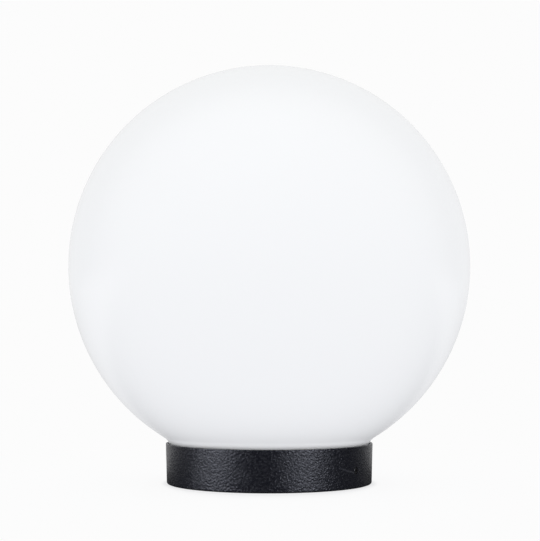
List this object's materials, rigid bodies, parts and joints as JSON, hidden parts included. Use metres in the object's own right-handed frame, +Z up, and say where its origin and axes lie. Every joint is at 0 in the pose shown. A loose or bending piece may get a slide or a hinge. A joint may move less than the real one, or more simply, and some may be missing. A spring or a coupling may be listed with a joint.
{
  "type": "garden globe light",
  "caption": "Opal globe on a low round base, with a screw-in bulb in a ceramic holder, a cable inlet and slots to fix it down.",
  "frame": {"origin": "centre of the base's underside", "axes": "+Z up through the globe's centre; the front, as pictured, faces -Y"},
  "size_m": [0.1999, 0.2, 0.2079],
  "materials": {
    "opal_acrylic": "moulded, glossy opal",
    "base_black": "moulded, fine spark-eroded grain",
    "seal_rubber": "moulded",
    "insert_brass": "turned",
    "screw_steel": "zinc plated",
    "grub_steel": "blackened",
    "pad_nylon": "natural nylon",
    "bracket_steel": "zinc plated, pressed",
    "ceramic": "white glazed ceramic",
    "contact_brass": "pressed sheet",
    "block_polyamide": "moulded polyamide",
    "wire_brown": "brown insulation, bare copper ends",
    "wire_blue": "blue insulation, bare copper ends",
    "cap_metal": "rolled thread, nickel plated",
    "cap_glass": "black glass bead",
    "tip_metal": "tinned",
    "housing_white": "moulded, satin",
    "driver_board": "board with its parts",
    "led_board": "white solder mask",
    "led_phosphor": "yellow phosphor",
    "bulb_opal": "moulded, satin opal"
  },
  "bodies": {
    "base": {"base_cup": "base_black", "globe_seal": "seal_rubber", "base_gasket": "seal_rubber", "cable_grommet": "seal_rubber", "screw_inserts": "insert_brass", "holder_bracket": "bracket_steel", "bracket_screws": "screw_steel", "holder_fixing_screws": "screw_steel", "holder_body": "ceramic", "holder_shell": "contact_brass", "holder_centre_contact": "contact_brass", "holder_side_contact": "contact_brass", "holder_terminal_screws": "screw_steel", "terminal_block_body": "block_polyamide", "terminal_tubes": "contact_brass", "terminal_screws": "screw_steel", "terminal_block_screw": "screw_steel", "wire_live": "wire_brown", "wire_neutral": "wire_blue"},
    "globe": {"globe": "opal_acrylic"},
    "bulb_tip": {"bulb_contact": "tip_metal"},
    "bulb": {"bulb_insulator": "cap_glass", "bulb_cap": "cap_metal", "bulb_housing": "housing_white", "bulb_driver": "driver_board", "bulb_led_board": "led_board", "bulb_leds": "led_phosphor", "bulb_diffuser": "bulb_opal"},
    "globe_screw_1": {"globe_screw_1": "grub_steel", "neck_pad_1": "pad_nylon"},
    "globe_screw_2": {"globe_screw_2": "grub_steel", "neck_pad_2": "pad_nylon"}
  },
  "joints": [
    {"name": "globe_lift", "type": "slide", "parent": "base", "child": "globe", "axis": [0, 0, 1], "range_m": [0, 0.15]},
    {"name": "bulb_rise", "type": "slide", "parent": "base", "child": "bulb_tip", "axis": [0, 0, 1], "range_m": [0, 0.01815]},
    {"name": "bulb_turn", "type": "hinge", "parent": "bulb_tip", "child": "bulb", "pos_m": [0, 0, 0.035], "axis": [0, 0, 1], "range_deg": [0, 1800]},
    {"name": "screw_1_travel", "type": "slide", "parent": "base", "child": "globe_screw_1", "axis": [0.8049, -0.5934, 0], "range_m": [0, 0.002]},
    {"name": "screw_2_travel", "type": "slide", "parent": "base", "child": "globe_screw_2", "axis": [-0.8049, 0.5934, 0], "range_m": [0, 0.002]}
  ],
  "couplings": [
    {"joint": "bulb_rise", "follows": "bulb_turn", "m_per_rad": 0.00057757}
  ]
}
